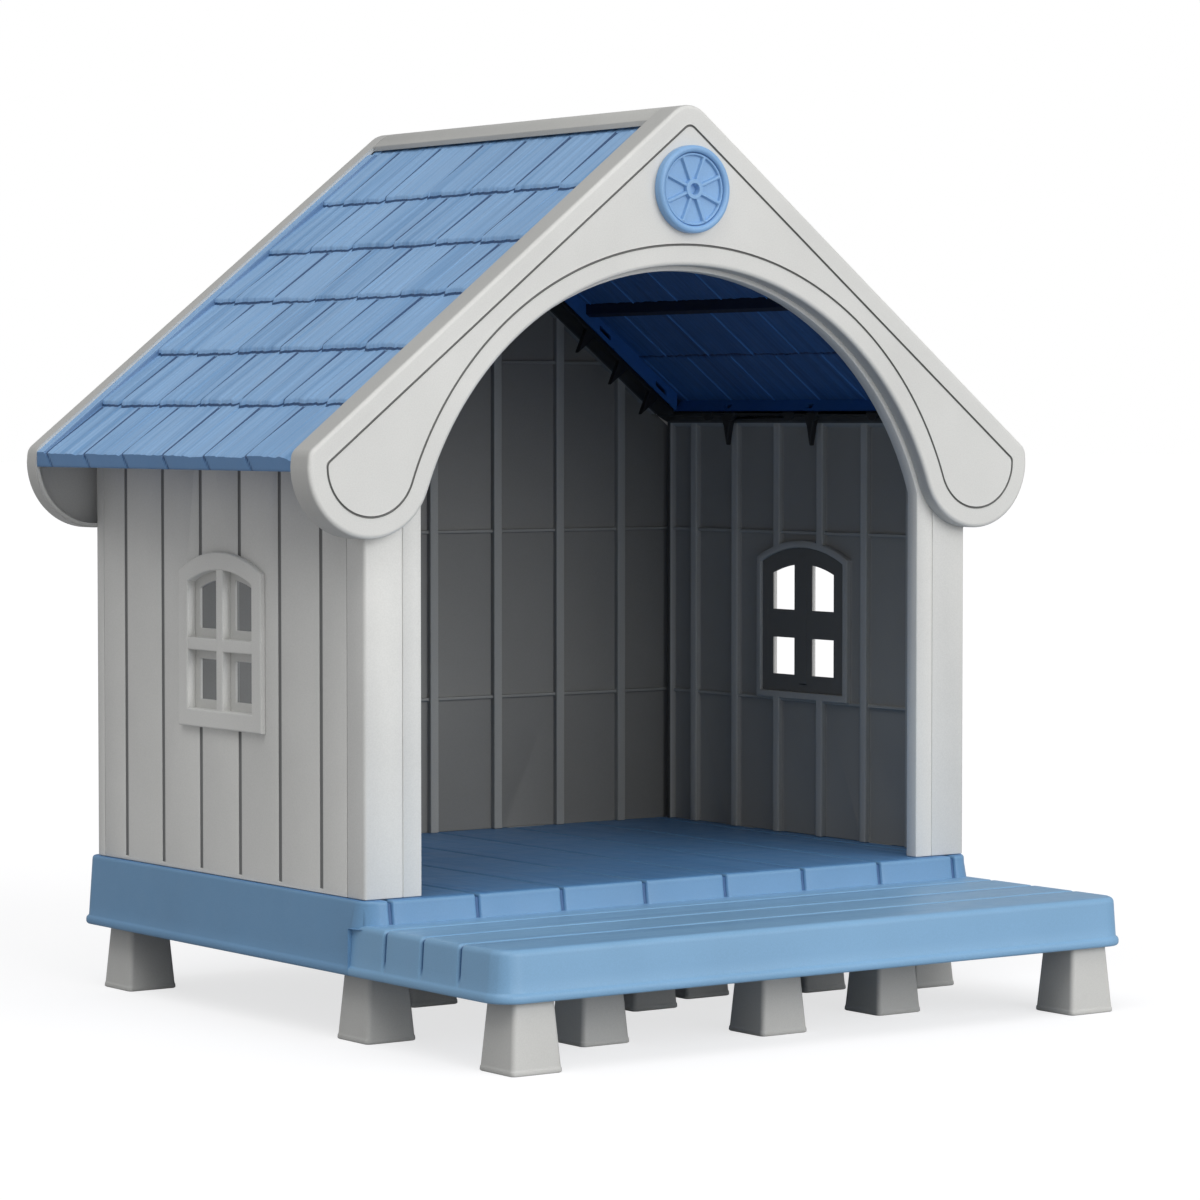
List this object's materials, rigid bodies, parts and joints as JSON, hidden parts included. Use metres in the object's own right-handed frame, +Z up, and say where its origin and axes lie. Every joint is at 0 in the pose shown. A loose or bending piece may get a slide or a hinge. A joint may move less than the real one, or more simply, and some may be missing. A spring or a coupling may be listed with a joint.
{
  "type": "dog house",
  "caption": "Raised plastic dog house with an arched doorway, a front porch deck, cross-barred windows in ribbed walls and a shingled gable roof that lifts off.",
  "frame": {"origin": "on the ground under the middle of the object's bounding box", "axes": "+Z up, -Y towards the doorway and porch, +X to the right of someone who faces the doorway"},
  "size_m": [0.7748, 0.6862, 0.7909],
  "materials": {
    "wall_plastic": "pale grey moulded plastic, fine texture",
    "trim_plastic": "pale grey moulded plastic, satin",
    "deck_plastic": "mid blue moulded plastic with wood grain",
    "roof_plastic": "sky blue moulded plastic with shingle grain",
    "foot_plastic": "pale grey moulded plastic"
  },
  "bodies": {
    "house": {"deck": "deck_plastic", "foot_porch_left": "foot_plastic", "foot_porch_right": "foot_plastic", "foot_porch_middle": "foot_plastic", "foot_porch_inner_left": "foot_plastic", "foot_porch_inner_right": "foot_plastic", "foot_front_left": "foot_plastic", "foot_front_right": "foot_plastic", "foot_front_middle": "foot_plastic", "foot_front_inner": "foot_plastic", "foot_front_outer": "foot_plastic", "foot_middle_left": "foot_plastic", "foot_middle_right": "foot_plastic", "foot_rear_left": "foot_plastic", "foot_rear_right": "foot_plastic", "side_wall_left": "wall_plastic", "side_wall_right": "wall_plastic", "back_wall": "wall_plastic", "corner_post_left": "wall_plastic", "corner_post_right": "wall_plastic", "door_frame": "wall_plastic", "window_left": "trim_plastic", "window_right": "trim_plastic"},
    "roof": {"gable_front": "trim_plastic", "gable_rear": "trim_plastic", "gable_rosette": "roof_plastic", "roof_panel_left": "roof_plastic", "roof_panel_right": "roof_plastic", "ridge_cap": "trim_plastic"}
  },
  "joints": [
    {"name": "roof_lift", "type": "slide", "parent": "house", "child": "roof", "axis": [0, 0, 1], "range_m": [0, 0.36]}
  ]
}
